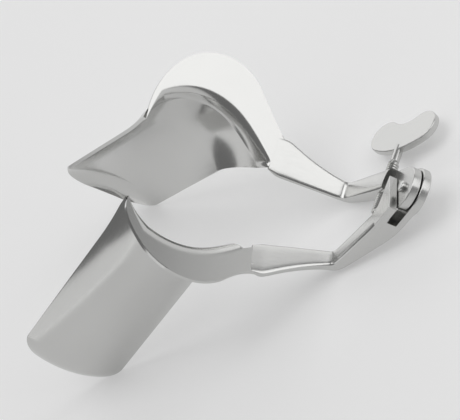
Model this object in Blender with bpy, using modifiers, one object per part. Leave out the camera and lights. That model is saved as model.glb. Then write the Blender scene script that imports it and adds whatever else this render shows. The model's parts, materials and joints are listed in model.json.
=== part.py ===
"""Side-hinged bivalve vaginal speculum with a lateral thumb screw, in metres, lying as it comes to rest."""

import math
from collections import namedtuple

import bmesh
import bpy
from mathutils import Matrix, Vector

# Valve blades. Each valve has its own frame: x along the blade, y across it, z outward,
# with the hinge axis along y through the origin.
BLADE_WIDTH = 0.0360
SHEET = 0.0012
EDGE_HEIGHT = 0.0051
FLANGE_X = 0.0480
BLADE_LENGTH = 0.0935
NOSE_LENGTH = 0.0090
NOSE_CORNER = 0.0100
NOSE_TURN = 0.97
NOSE_FULLNESS = 0.98
SWELL_LENGTH = 0.0188
SWELL_POWER = 1.5
FLARE_DEPTH = 0.0052
FLARE_SHARE = 0.70
ARM_FLARE_SHARE = 0.55
FREE_FAN = math.radians(62.0)
SHEET_EDGE = 0.0003

# The two valves: the flange's round outline, with its margin past the blade's half width, and the
# shoulder above its arm, the depth of the blade at each end, how far it swells before the flare at the
# top, the arm's edge and the free edge, and how far the flare reaches and leans.
Form = namedtuple("Form", "centre_y centre_z margin shoulder root_depth tip_depth "
                          "swell_top swell_arm swell_free flare arm_fan")
UPPER_FORM = Form(centre_y=-0.0030, centre_z=0.0178, margin=0.0020, shoulder=0.0030,
                  root_depth=0.0114, tip_depth=0.0046, swell_top=0.0035, swell_arm=0.0080,
                  swell_free=0.0010, flare=0.0045, arm_fan=math.radians(88.0))
LOWER_FORM = Form(centre_y=-0.0040, centre_z=0.0095, margin=0.0036, shoulder=0.0008,
                  root_depth=0.0092, tip_depth=0.0042, swell_top=0.0005, swell_arm=0.0020,
                  swell_free=0.0010, flare=0.0060, arm_fan=math.radians(66.0))
FREE_OVERHANG = 0.0030
RIM_FIRST, RIM_LAST = math.radians(40), math.radians(138)
RIM_PULL = 0.75
FREE_PART, ROUND_PART = 0.28, 0.48

# Arms: a strap from the flange to the bend, then a bar from the bend to the hinge.
ARM_CLEAR = 0.0140
ARM_Y = BLADE_WIDTH / 2 + ARM_CLEAR
ARM_ROOT_HIGH = 0.0172
ARM_ROOT_LOW = 0.0034
ARM_SHARE = 0.30
ARM_STEP = 0.0010
ROOT_INSET = 0.0006
STRAP_THICK = 0.0034
STRAP_SPAN = 0.0230
BEND_X, BEND_Y = 0.0396, ARM_Y + STRAP_SPAN
BEND_HIGH, BEND_LOW = 0.0083, 0.0017
BAR_HIGH, BAR_LOW = 0.0086, 0.0008
BAR_BEND_THICK = 0.0052
ARM_EDGE = 0.0006

# Hinge: a tongue on the upper arm between two tines of the lower arm.
HINGE_OFFSET = 0.0025
HINGE_FRONT_Y = BEND_Y + HINGE_OFFSET
FRONT_TINE = 0.0030
TONGUE = 0.0030
REAR_TINE = 0.0030
FACE_GAP = 0.0003
TONGUE_RADIUS = 0.0075
REAR_RADIUS = 0.0083
TONGUE_Y = HINGE_FRONT_Y + FRONT_TINE + FACE_GAP
REAR_Y = TONGUE_Y + TONGUE + FACE_GAP
FRONT_TINE_END = 0.0046
FRONT_TINE_TOP = 0.0074
SHOULDER_RADIUS = 0.0125
SLOT_END = 0.0105
RIVET_RADIUS = 0.0015
RIVET_HEAD = 0.0020
RIVET_HEAD_THICK = 0.0013
RIVET_TAIL = 0.0026
RIVET_TAIL_THICK = 0.0008
PIVOT_GAP = 0.00008

# Thumb screw: a threaded shank through the upper arm, with a winged head on its neck.
HALF_OPENING = math.radians(12.9)
SCREW_X = 0.0180
SCREW_LEAN = HALF_OPENING
SCREW_OUT = math.radians(8.0)
SCREW_Y = HINGE_FRONT_Y + 0.0037
THREAD_RADIUS = 0.0020
SHANK_ABOVE = 0.0060
NECK_RADIUS = 0.0016
NECK_LENGTH = 0.0050
WING_SPAN = 0.0280
WING_HEIGHT = 0.0125
WING_LOBE = 0.0050
WING_WAIST = 0.0098
WING_THICK = 0.0021
WING_EDGE = 0.0003
WING_TURN = math.radians(20.0)
TIP_GAP = 0.0003
SHANK_TOP = (BAR_HIGH - BAR_LOW) / 2 + SHANK_ABOVE

# Grid of each valve's sheet: across it, and along its nose, blade, swell, flare and flange.
COLUMNS = 30
ROW_STEPS = (7, 7, 5, 5, 4)
STEEL = (0.78, 0.78, 0.77, 1.0)


def clear_scene():
    """Empty the file before the model is made."""
    for item in list(bpy.data.objects):
        bpy.data.objects.remove(item, do_unlink=True)


def collection(name):
    """A collection linked to the scene."""
    made = bpy.data.collections.new(name)
    bpy.context.scene.collection.children.link(made)
    return made


def steel(name, colour, roughness):
    """A Principled steel for one piece."""
    material = bpy.data.materials.new(name)
    material.use_nodes = True
    shader = material.node_tree.nodes["Principled BSDF"]
    shader.inputs["Base Color"].default_value = colour
    shader.inputs["Roughness"].default_value = roughness
    shader.inputs["Metallic"].default_value = 1.0
    return material


def empty(name, parent, matrix):
    """An empty that carries pieces, placed by a matrix under its parent."""
    made = bpy.data.objects.new(name, None)
    bpy.context.scene.collection.objects.link(made)
    made.parent = parent
    made.matrix_basis = matrix
    return made


def add_object(name, bm, parent, home, material=None):
    """An object from a bmesh, smooth on its round faces."""
    bmesh.ops.recalc_face_normals(bm, faces=bm.faces)
    mesh = bpy.data.meshes.new(name)
    bm.to_mesh(mesh)
    bm.free()
    made = bpy.data.objects.new(name, mesh)
    home.objects.link(made)
    made.parent = parent
    if material:
        mesh.materials.append(material)
    mesh.shade_smooth()
    mesh.set_sharp_from_angle(angle=math.radians(35))
    return made


def helper(name, bm, parent, home):
    """A guide object that a modifier reads and the build leaves out."""
    made = add_object(name, bm, parent, home)
    made.hide_render = True
    made.display_type = "WIRE"
    return made


def boolean(target, other, operation):
    """Join or cut one object with another."""
    modifier = target.modifiers.new(other.name, "BOOLEAN")
    modifier.object = other
    modifier.operation = operation
    modifier.solver = "EXACT"


def bevel(target, width, segments, angle=40.0):
    """Round the edges sharper than an angle."""
    modifier = target.modifiers.new("edges", "BEVEL")
    modifier.width = width
    modifier.segments = segments
    modifier.limit_method = "ANGLE"
    modifier.angle_limit = math.radians(angle)


def arc_section(half_width, depth, v):
    """A point of the blade's round section: across and above the split edge."""
    radius = (half_width ** 2 + depth ** 2) / (2 * depth)
    spread = math.asin(min(1.0, half_width / radius))
    return Vector((radius * math.sin(spread * v),
                   EDGE_HEIGHT + radius * (math.cos(spread * v) - math.cos(spread))))


def quadratic(a, b, c, t):
    """A point of a quadratic curve."""
    return a.lerp(b, t).lerp(b.lerp(c, t), t)


class Rim:
    """The flange's outline in the (y, z) plane, from the free corner round the top to the arm."""

    def __init__(self, form):
        self.centre = Vector((form.centre_y, form.centre_z))
        self.radius = BLADE_WIDTH / 2 + form.margin
        self.corner = Vector((BLADE_WIDTH / 2 + FREE_OVERHANG, EDGE_HEIGHT))
        self.left = self.on_arc(RIM_FIRST)
        self.right = self.on_arc(RIM_LAST)
        self.left_pull = self.left - self.along(RIM_FIRST) * self.radius * RIM_PULL
        self.top = Vector((-ARM_Y, ARM_ROOT_HIGH - ROOT_INSET))
        fall = self.right.y - self.top.y - form.shoulder * 0.4
        self.right_pull = self.right - self.along(RIM_LAST) * fall / self.along(RIM_LAST).y

    def on_arc(self, angle):
        return self.centre + self.radius * Vector((math.cos(angle), math.sin(angle)))

    def along(self, angle):
        return Vector((-math.sin(angle), math.cos(angle)))

    def point(self, s):
        """The outline at s, from 0 at the free corner to 1 at the arm's top edge."""
        if s < FREE_PART:
            return quadratic(self.corner, self.left_pull, self.left, s / FREE_PART)
        if s < FREE_PART + ROUND_PART:
            t = (s - FREE_PART) / ROUND_PART
            return self.on_arc(RIM_FIRST + (RIM_LAST - RIM_FIRST) * t)
        t = (s - FREE_PART - ROUND_PART) / (1 - FREE_PART - ROUND_PART)
        return quadratic(self.right, self.right_pull, self.top, t)

    def target(self, v):
        """Where the column v of the sheet ends: on the outline, or down the arm's root."""
        s = (1 - v) / 2
        if s <= 1 - ARM_SHARE:
            return self.point(s / (1 - ARM_SHARE))
        drop = (s - (1 - ARM_SHARE)) / ARM_SHARE
        return Vector((-ARM_Y, self.top.y + (ARM_ROOT_LOW + ROOT_INSET - self.top.y) * drop))


def swell(form, v):
    """How far the sheet stands out at the end of its swell."""
    arm, free = max(0.0, -v) ** 5, max(0.0, v) ** 2
    rise = form.swell_top + (form.swell_arm - form.swell_top) * arm
    return rise + (form.swell_free - form.swell_top) * free


def sheet_point(form, rim, station, v):
    """A point of a valve's inner surface; station runs from 0 at the tip to 5 at the rim."""
    half = BLADE_WIDTH / 2
    nose_x = FLANGE_X + BLADE_LENGTH - NOSE_LENGTH
    root_x = FLANGE_X + FLARE_DEPTH
    if station < 1:
        turn = math.pi / 2 * (1 - station) * NOSE_TURN
        along = math.sin(turn)
        width = half - NOSE_CORNER * (1 - math.sqrt(max(0.0, 1 - along ** 2 * NOSE_FULLNESS)))
        edge = arc_section(width, form.tip_depth * math.cos(turn), v)
        return Vector((nose_x + NOSE_LENGTH * along, edge.x, edge.y))
    swell_x = root_x + SWELL_LENGTH
    if station < 2:
        x = nose_x + (swell_x - nose_x) * (station - 1)
    else:
        x = swell_x + (root_x - swell_x) * min(1.0, station - 2)
    depth = form.tip_depth + (form.root_depth - form.tip_depth) * (nose_x - x) / (nose_x - root_x)
    aim = (FREE_FAN if v > 0 else form.arm_fan) * v
    lean = Vector((math.sin(aim), math.cos(aim)))
    rise = swell(form, v)
    share = max(0.0, (swell_x - x) / SWELL_LENGTH)
    edge = arc_section(half, depth, v) + lean * rise * share ** SWELL_POWER
    if station <= 3:
        return Vector((x, edge.x, edge.y))
    near_arm = max(0.0, -v) ** 3
    target = rim.target(v)
    share = FLARE_SHARE + (ARM_FLARE_SHARE - FLARE_SHARE) * near_arm
    reach = min(form.flare, (target - edge).dot(lean) * share)
    slope = rise * SWELL_POWER / SWELL_LENGTH
    pull = min(reach * 0.8, slope * FLARE_DEPTH * (0.2 + 0.8 * near_arm))
    t = min(1.0, station - 3)
    x = FLANGE_X + FLARE_DEPTH * (1 - t) ** 2
    edge = edge + lean * (2 * t * (1 - t) * pull + t * t * reach)
    if station > 4:
        edge = edge.lerp(target, station - 4)
    return Vector((x, edge.x, edge.y))


def sheet_mesh(form, side):
    """A grid bent into blade, flare and flange; side mirrors it for the lower valve."""
    rim = Rim(form)
    stations = [part + i / steps for part, steps in enumerate(ROW_STEPS) for i in range(steps)]
    stations.append(float(len(ROW_STEPS)))
    bm = bmesh.new()
    bmesh.ops.create_grid(bm, x_segments=COLUMNS, y_segments=len(stations) - 1, size=0.5)
    for vert in bm.verts:
        row = round((vert.co.y + 0.5) * (len(stations) - 1))
        point = sheet_point(form, rim, stations[row], vert.co.x * 2)
        vert.co = (point.x, point.y, point.z * side)
    return bm


def loft(sections, side):
    """A closed solid through rings of four corners."""
    bm = bmesh.new()
    rings = [[bm.verts.new((x, y, z * side)) for x, y, z in ring] for ring in sections]
    for ring, following in zip(rings, rings[1:]):
        for k in range(len(ring)):
            n = (k + 1) % len(ring)
            bm.faces.new((ring[k], ring[n], following[n], following[k]))
    bm.faces.new(rings[0])
    bm.faces.new(list(reversed(rings[-1])))
    return bm


def arm_ring(inner, outer, low, high):
    """One section of the arm: its proximal or inner face, its outer face, its two edges."""
    return [(inner[0], inner[1], low), (inner[0], inner[1], high),
            (outer[0], outer[1], high), (outer[0], outer[1], low)]


def arm_sections(end_x, end_low, end_high):
    """The arm from inside the flange sheet, along the strap, round the bend, to the hinge."""
    hinge_back = HINGE_FRONT_Y + FRONT_TINE + TONGUE + REAR_TINE + 2 * FACE_GAP
    face_x = FLANGE_X - ARM_STEP
    slope = (face_x - BEND_X) / (BEND_Y - ARM_Y)
    mid_y = (ARM_Y + BEND_Y) / 2
    sections = [
        arm_ring((FLANGE_X + 0.0003, -ARM_Y + 0.0024), (FLANGE_X + 0.0008, -ARM_Y + 0.0024),
                 ARM_ROOT_LOW + 0.0014, ARM_ROOT_HIGH - 0.0004),
        arm_ring((face_x, -ARM_Y + 0.0008), (face_x + STRAP_THICK, -ARM_Y + 0.0008),
                 ARM_ROOT_LOW, ARM_ROOT_HIGH + 0.0004),
        arm_ring((face_x - slope * 0.0010, -ARM_Y - 0.0010), (face_x + STRAP_THICK, -ARM_Y - 0.0010),
                 ARM_ROOT_LOW, ARM_ROOT_HIGH - 0.0004),
    ]
    for t in (0.35, 0.68, 0.92):
        y = -(ARM_Y + (BEND_Y - ARM_Y) * t)
        x = face_x - slope * (BEND_Y - ARM_Y) * t
        ease = 1 - (1 - t) ** 1.4
        sections.append(arm_ring((x, y), (x + STRAP_THICK, y - 0.0010 * t),
                                 ARM_ROOT_LOW + (BEND_LOW - ARM_ROOT_LOW) * t,
                                 ARM_ROOT_HIGH + (BEND_HIGH - ARM_ROOT_HIGH) * ease))
    sections.append(arm_ring((BEND_X - 0.0003, -BEND_Y), (BEND_X + 0.0036, -BEND_Y - 0.0042),
                             BEND_LOW, BEND_HIGH))
    bar_start_x = BEND_X - 0.0030
    for t in (0.0, 0.35, 0.7, 1.0):
        x = bar_start_x + (SHOULDER_RADIUS + 0.002 - bar_start_x) * t
        inner = BEND_Y + 0.0004 + (HINGE_FRONT_Y - BEND_Y - 0.0004) * t
        outer = BEND_Y + BAR_BEND_THICK + 0.0009 + (hinge_back - BEND_Y - BAR_BEND_THICK - 0.0009) * t
        sections.append(arm_ring((x, -inner), (x + 0.0008 * (1 - t), -outer),
                                 BEND_LOW + (BAR_LOW - BEND_LOW) * t,
                                 BEND_HIGH + (BAR_HIGH - BEND_HIGH) * t))
    sections.append(arm_ring((end_x, -HINGE_FRONT_Y), (end_x, -hinge_back), end_low, end_high))
    return sections


def disc(radius, y_front, thick, segments=40):
    """A cylinder along y, from its front face backwards."""
    bm = bmesh.new()
    place = Matrix.Translation((0, -(y_front + thick / 2), 0)) @ Matrix.Rotation(math.pi / 2, 4, "X")
    bmesh.ops.create_cone(bm, cap_ends=True, segments=segments, radius1=radius, radius2=radius,
                          depth=thick, matrix=place)
    return bm


def rod(radius, low, high, segments=32):
    """A cylinder along z."""
    bm = bmesh.new()
    place = Matrix.Translation((0, 0, (low + high) / 2))
    bmesh.ops.create_cone(bm, cap_ends=True, segments=segments, radius1=radius, radius2=radius,
                          depth=high - low, matrix=place)
    return bm


def box(low, high):
    """A plain block between two corners."""
    bm = bmesh.new()
    centre = (Vector(low) + Vector(high)) / 2
    size = Vector(high) - Vector(low)
    bmesh.ops.create_cube(bm, size=1.0, matrix=Matrix.Translation(centre) @ Matrix.Diagonal(size.to_4d()))
    return bm


def plate(outline, low, high):
    """An outline of (first, second) points, extruded along z between two heights."""
    bm = bmesh.new()
    face = bm.faces.new([bm.verts.new((a, b, low)) for a, b in outline])
    grown = bmesh.ops.extrude_face_region(bm, geom=[face])["geom"]
    lifted = [item for item in grown if isinstance(item, bmesh.types.BMVert)]
    bmesh.ops.translate(bm, verts=lifted, vec=(0, 0, high - low))
    return bm


def turned(name, profile, parent, home, material=None, segments=32):
    """A solid of revolution about z from a profile of (radius, height), top to bottom."""
    bm = bmesh.new()
    verts = [bm.verts.new((r, 0, z)) for r, z in profile]
    for pair in zip(verts, verts[1:]):
        bm.edges.new(pair)
    made = add_object(name, bm, parent, home, material)
    spin = made.modifiers.new("turn", "SCREW")
    spin.axis = "Z"
    spin.steps = segments
    spin.render_steps = segments
    spin.use_merge_vertices = True
    spin.merge_threshold = 0.000001
    return made


def round_end(radius, tip, ease, facing):
    """Points of (radius, height) that round the end of a rod, from its axis outwards."""
    turns = [math.radians(a) for a in (90, 60, 30, 0)]
    return [(0.0, tip)] + [(radius - ease + ease * math.cos(a), tip - facing * (ease - ease * math.sin(a)))
                           for a in turns]


def arc(centre, radius, first, last, steps):
    """Points along an arc, both ends left out."""
    turns = [first + (last - first) * i / steps for i in range(1, steps)]
    return [(centre[0] + radius * math.cos(a), centre[1] + radius * math.sin(a)) for a in turns]


def wing_outline():
    """The winged head seen flat: two round lobes, a dip above and one long curve below."""
    reach = WING_SPAN / 2 - WING_LOBE
    lobe_z = WING_HEIGHT - WING_LOBE
    dip = WING_WAIST - lobe_z
    below = (reach ** 2 + lobe_z ** 2 - WING_LOBE ** 2) / (2 * (lobe_z - WING_LOBE))
    above = (reach ** 2 + dip ** 2 - WING_LOBE ** 2) / (2 * (WING_LOBE - dip))
    dip_z = WING_WAIST + above
    start = math.atan2(lobe_z - below, reach)
    finish = math.atan2(dip_z - lobe_z, -reach)
    side = math.atan2(lobe_z - dip_z, reach)
    points = arc((reach, lobe_z), WING_LOBE, start, finish, 12)
    points += arc((0, dip_z), above, side, -math.pi - side, 8)
    points += arc((-reach, lobe_z), WING_LOBE, math.pi - finish, math.pi - start, 12)
    points += arc((0, below), below, math.pi - start, 2 * math.pi + start, 12)
    return points


def valve(name, form, side, parent, home, material):
    """Blade, flange and flare as one bent sheet."""
    made = add_object(name, sheet_mesh(form, side), parent, home, material)
    shell = made.modifiers.new("sheet", "SOLIDIFY")
    shell.thickness = SHEET
    shell.offset = 1.0
    bevel(made, SHEET_EDGE, 1, 60.0)
    return made


def add_upper_valve(parent, screw_frame, home, cutters, material):
    """The upper valve with its arm, which ends in the hinge's tongue and takes the screw."""
    made = valve("upper_valve", UPPER_FORM, 1, parent, home, material)
    arm = helper("upper_arm", loft(arm_sections(0.0, BAR_LOW, TONGUE_RADIUS), 1), parent, cutters)
    bevel(arm, ARM_EDGE, 2)
    tongue = helper("tongue_disc", disc(TONGUE_RADIUS, TONGUE_Y, TONGUE), parent, cutters)
    bevel(tongue, ARM_EDGE / 2, 1)
    before = helper("front_shoulder", disc(SHOULDER_RADIUS, HINGE_FRONT_Y - 0.004,
                                           TONGUE_Y - HINGE_FRONT_Y + 0.004), parent, cutters)
    behind = helper("rear_shoulder", disc(SHOULDER_RADIUS, TONGUE_Y + TONGUE, REAR_TINE + 0.004),
                    parent, cutters)
    pivot = helper("tongue_hole", disc(RIVET_RADIUS + PIVOT_GAP, HINGE_FRONT_Y, 0.010, 32), parent, cutters)
    hole = helper("screw_hole", rod(THREAD_RADIUS + PIVOT_GAP, -0.010, 0.010), screw_frame, cutters)
    boolean(arm, before, "DIFFERENCE")
    boolean(arm, behind, "DIFFERENCE")
    boolean(arm, tongue, "UNION")
    boolean(arm, pivot, "DIFFERENCE")
    boolean(arm, hole, "DIFFERENCE")
    boolean(made, arm, "UNION")
    return made


def add_lower_valve(parent, home, cutters, material):
    """The lower valve with its arm, which ends in the hinge's two tines."""
    made = valve("lower_valve", LOWER_FORM, -1, parent, home, material)
    arm = helper("lower_arm", loft(arm_sections(0.0, BAR_LOW, REAR_RADIUS), -1), parent, cutters)
    bevel(arm, ARM_EDGE, 2)
    lug = helper("rear_lug", disc(REAR_RADIUS, REAR_Y, REAR_TINE), parent, cutters)
    bevel(lug, ARM_EDGE / 2, 1)
    ear_outline = [(0.0140, -BAR_HIGH), (0.0140, -BAR_LOW), (0.0120, -BAR_LOW),
                   (FRONT_TINE_END, FRONT_TINE_TOP), (FRONT_TINE_END - 0.0012, -REAR_RADIUS)]
    ear_place = Matrix.Rotation(math.pi / 2, 4, "X")
    ear_mesh = plate(ear_outline, HINGE_FRONT_Y, HINGE_FRONT_Y + FRONT_TINE)
    bmesh.ops.transform(ear_mesh, matrix=ear_place, verts=ear_mesh.verts)
    ear = helper("front_ear", ear_mesh, parent, cutters)
    bevel(ear, ARM_EDGE / 3, 1)
    clear = helper("front_room", box((-0.020, -REAR_Y, -0.020), (FRONT_TINE_END + 0.004, -0.050, 0.020)),
                   parent, cutters)
    slot = helper("tongue_slot", box((-0.020, -REAR_Y, -0.020),
                                     (SLOT_END, -(TONGUE_Y - FACE_GAP), 0.020)), parent, cutters)
    pivot = helper("lug_hole", disc(RIVET_RADIUS + PIVOT_GAP, HINGE_FRONT_Y, 0.015, 32), parent, cutters)
    boolean(arm, clear, "DIFFERENCE")
    boolean(arm, slot, "DIFFERENCE")
    boolean(arm, ear, "UNION")
    boolean(arm, lug, "UNION")
    boolean(arm, pivot, "DIFFERENCE")
    boolean(made, arm, "UNION")
    return made


def add_rivet(parent, home, material):
    """The hinge's rivet, with a straight head in front and a low wide one behind."""
    front = -(TONGUE_Y - PIVOT_GAP)
    back = -(REAR_Y + REAR_TINE + PIVOT_GAP)
    profile = round_end(RIVET_HEAD, front + RIVET_HEAD_THICK, 0.0005, 1)
    profile += [(RIVET_HEAD, front), (RIVET_RADIUS, front), (RIVET_RADIUS, back), (RIVET_TAIL, back)]
    profile += list(reversed(round_end(RIVET_TAIL, back - RIVET_TAIL_THICK, 0.0005, -1)))
    made = turned("hinge_rivet", profile, parent, home, material)
    made.matrix_basis = Matrix.Rotation(-math.pi / 2, 4, "X")
    return made


def tip_depth(screw_frame_to_lower):
    """How far below the screw's origin its tip lies, just clear of the lower arm."""
    origin = screw_frame_to_lower.to_translation()
    down = screw_frame_to_lower.to_3x3() @ Vector((0, 0, -1))
    slope = (BEND_LOW - BAR_LOW) / (BEND_X - 0.0030 - SHOULDER_RADIUS - 0.002)
    height = -BAR_LOW - slope * (origin.x - SHOULDER_RADIUS - 0.002)
    return (height - origin.z) / down.z - TIP_GAP


def add_screw(screw_frame, depth, home, cutters, materials):
    """The threaded shank and its winged head, both on the screw's own axis."""
    top = SHANK_TOP
    profile = round_end(THREAD_RADIUS, top, 0.0003, 1)
    profile += list(reversed(round_end(THREAD_RADIUS, -depth, 0.0009, -1)))
    shank = turned("screw_shank", profile, screw_frame, home, materials[0])
    neck_low = top + PIVOT_GAP
    base = neck_low + NECK_LENGTH
    wing_mesh = plate(wing_outline(), -WING_THICK / 2, WING_THICK / 2)
    stand = Matrix.Translation((0, 0, base)) @ Matrix.Rotation(WING_TURN, 4, "Z") @ \
        Matrix.Rotation(math.pi / 2, 4, "X")
    bmesh.ops.transform(wing_mesh, matrix=stand, verts=wing_mesh.verts)
    wing = add_object("thumb_wing", wing_mesh, screw_frame, home, materials[1])
    bevel(wing, WING_EDGE, 2)
    neck_profile = round_end(NECK_RADIUS, base + 0.0030, 0.0012, 1)
    neck_profile += list(reversed(round_end(NECK_RADIUS, neck_low, 0.0003, -1)))
    neck = turned("wing_neck", neck_profile, screw_frame, cutters, segments=24)
    neck.hide_render = True
    neck.display_type = "WIRE"
    boolean(wing, neck, "UNION")
    return shank, wing


def apply_modifiers(pieces):
    """Give each piece the mesh that its modifiers make."""
    graph = bpy.context.evaluated_depsgraph_get()
    finished = [bpy.data.meshes.new_from_object(piece.evaluated_get(graph)) for piece in pieces]
    for piece, mesh in zip(pieces, finished):
        piece.modifiers.clear()
        piece.data = mesh


def resting_angle(points):
    """The turn at which the blade tips and the hinge end touch the table together."""
    tips = [p for p in points if p.x > FLANGE_X]
    heel = [p for p in points if p.x <= FLANGE_X]
    low, high = 0.0, math.radians(60)
    for _ in range(40):
        middle = (low + high) / 2
        up = Vector((-math.sin(middle), math.cos(middle), 0))
        if min(up.dot(p) for p in tips) < min(up.dot(p) for p in heel):
            high = middle
        else:
            low = middle
    return (low + high) / 2


def lay_down(root, pieces):
    """Lay the open speculum on its side, and put the origin under the middle of its box."""
    bpy.context.view_layer.update()
    points = [piece.matrix_world @ vertex.co for piece in pieces for vertex in piece.data.vertices]
    turn = Matrix.Rotation(math.pi / 2, 4, "X") @ Matrix.Rotation(-resting_angle(points), 4, "Z")
    laid = [turn @ p for p in points]
    spans = [(min(p[k] for p in laid), max(p[k] for p in laid)) for k in range(3)]
    middle = Vector((sum(spans[0]) / 2, sum(spans[1]) / 2, spans[2][0]))
    root.matrix_basis = Matrix.Translation(-middle) @ turn


def main():
    clear_scene()
    parts = collection("vaginal_speculum")
    cutters = collection("cutters")
    root = empty("speculum", None, Matrix())
    upper = empty("upper_frame", root, Matrix.Rotation(-HALF_OPENING, 4, "Y"))
    lower = empty("lower_frame", root, Matrix.Rotation(HALF_OPENING, 4, "Y"))
    satin = steel("satin_steel", STEEL, 0.25)
    bright = steel("bright_steel", STEEL, 0.15)
    lean = Matrix.Translation((SCREW_X, -SCREW_Y, (BAR_HIGH + BAR_LOW) / 2)) @ \
        Matrix.Rotation(SCREW_LEAN, 4, "Y") @ Matrix.Rotation(SCREW_OUT, 4, "X")
    screw = empty("screw_frame", upper, lean)
    to_lower = Matrix.Rotation(-2 * HALF_OPENING, 4, "Y") @ lean

    add_upper_valve(upper, screw, parts, cutters, satin)
    add_lower_valve(lower, parts, cutters, satin)
    add_rivet(root, parts, bright)
    add_screw(screw, tip_depth(to_lower), parts, cutters, (bright, satin))
    pieces = list(parts.objects)
    apply_modifiers(pieces)
    lay_down(root, pieces)


main()
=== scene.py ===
"""Looks for a side-hinged bivalve vaginal speculum in satin and bright stainless steel."""

import json
import math
from collections import namedtuple

import bmesh
import bpy
from bpy.props import FloatProperty, FloatVectorProperty, PointerProperty
from mathutils import Matrix, Vector


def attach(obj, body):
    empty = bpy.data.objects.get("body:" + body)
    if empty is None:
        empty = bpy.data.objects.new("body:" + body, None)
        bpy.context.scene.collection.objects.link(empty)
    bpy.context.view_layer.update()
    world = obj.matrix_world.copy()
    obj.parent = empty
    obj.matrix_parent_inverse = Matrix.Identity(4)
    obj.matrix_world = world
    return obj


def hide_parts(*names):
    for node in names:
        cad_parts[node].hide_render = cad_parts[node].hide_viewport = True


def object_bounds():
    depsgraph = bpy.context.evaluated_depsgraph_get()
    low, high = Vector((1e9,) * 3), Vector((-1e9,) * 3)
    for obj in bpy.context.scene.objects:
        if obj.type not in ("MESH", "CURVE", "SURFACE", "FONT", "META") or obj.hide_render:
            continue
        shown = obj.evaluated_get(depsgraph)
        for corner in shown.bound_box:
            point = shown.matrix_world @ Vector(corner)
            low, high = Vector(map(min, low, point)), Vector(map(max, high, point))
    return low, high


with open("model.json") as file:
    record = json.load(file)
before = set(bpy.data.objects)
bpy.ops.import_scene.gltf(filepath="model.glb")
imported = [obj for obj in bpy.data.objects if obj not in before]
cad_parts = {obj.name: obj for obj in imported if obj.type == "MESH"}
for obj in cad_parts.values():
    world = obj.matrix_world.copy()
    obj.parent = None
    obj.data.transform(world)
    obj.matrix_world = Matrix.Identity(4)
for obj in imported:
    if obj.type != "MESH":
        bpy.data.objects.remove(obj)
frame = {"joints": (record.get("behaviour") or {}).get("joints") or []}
CAD_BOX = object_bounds()

bl_info = {
    "name": "Bivalve Speculum",
    "version": (1, 0, 0),
    "blender": (4, 5, 0),
    "location": "3D View > Sidebar > Speculum",
    "description": "Builds the valves, arms, hinge and thumb screw of a side-hinged speculum",
    "category": "Add Mesh",
}

# Blades, in each valve's own frame: x along the blade, y across it, z outward.
EDGE_HEIGHT = 0.0051
FLANGE_X = 0.0480
NOSE_LENGTH = 0.0100
NOSE_CORNER = 0.0125
NOSE_TURN = 0.97
NOSE_FULLNESS = 0.98
SWELL_LENGTH = 0.0188
SWELL_POWER = 2.0
FLARE_SHARE = 0.70
ARM_FLARE_SHARE = 0.55
FREE_FAN = math.radians(62.0)
CORNER_FAN = math.radians(28.0)
SHEET_EDGE = 0.0003
SHEET_BEVEL_ANGLE, SHEET_SHARP_ANGLE = 60.0, 50.0

# Powers: how fast the swell dies away from the arm's edge and from the free edge, how late the flare
# turns flat towards the free corner, and how near the arm it takes its form there.
SWELL_ARM_POWER, SWELL_FREE_POWER = 5, 2
CORNER_POWER = 6
NEAR_ARM_POWER = 3

# Start of the flare: the most of its reach that it takes from the swell's slope, and the share of that
# slope that it follows away from the arm.
PULL_MOST, PULL_AWAY = 0.8, 0.2

# Grid of each sheet: across it, and along its nose, blade, swell, flare and flange.
COLUMNS = 120
ROW_STEPS = (24, 40, 26, 24, 18)

# The two valves: the flange's round outline and the shoulder above its arm, the depth of the blade at
# each end, how far it swells before the flare at the top, the arm's edge and the free edge, and how far
# the flare reaches and leans.
Form = namedtuple("Form", "centre_y centre_z radius shoulder root_depth tip_depth "
                          "swell_top swell_arm swell_free flare arm_fan")
UPPER_FORM = Form(centre_y=-0.0030, centre_z=0.0178, radius=0.0200, shoulder=0.0030,
                  root_depth=0.0114, tip_depth=0.0046, swell_top=0.0035, swell_arm=0.0080,
                  swell_free=0.0010, flare=0.0045, arm_fan=math.radians(88.0))
LOWER_FORM = Form(centre_y=-0.0040, centre_z=0.0095, radius=0.0216, shoulder=0.0008,
                  root_depth=0.0092, tip_depth=0.0042, swell_top=0.0005, swell_arm=0.0020,
                  swell_free=0.0010, flare=0.0060, arm_fan=math.radians(66.0))
FREE_OVERHANG = 0.0012
RIM_FIRST = math.radians(40)
RIM_LAST = math.radians(138)
RIM_PULL = 0.66
RIM_SPREAD = 1.6
FREE_PART = 0.28
ROUND_PART = 0.48
SHOULDER_FALL = 0.4

# Arms: a strap from the flange to the bend, then a bar from the bend to the hinge.
ARM_Y = 0.0320
ARM_ROOT_HIGH = 0.0172
ARM_ROOT_LOW = 0.0034
ARM_SHARE = 0.30
ARM_STEP = 0.0010
ROOT_INSET = 0.0006
STRAP_THICK = 0.0027
BEND_X, BEND_Y = 0.0396, 0.0550
BEND_THICK = 0.0042
BEND_HIGH, BEND_LOW = 0.0083, 0.0017
BAR_HIGH, BAR_LOW = 0.0086, 0.0008
BAR_BEND_THICK = 0.0052
ARM_CREASE = 0.42
HINGE_EDGE = 0.0003
EAR_EDGE = 0.0002

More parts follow.
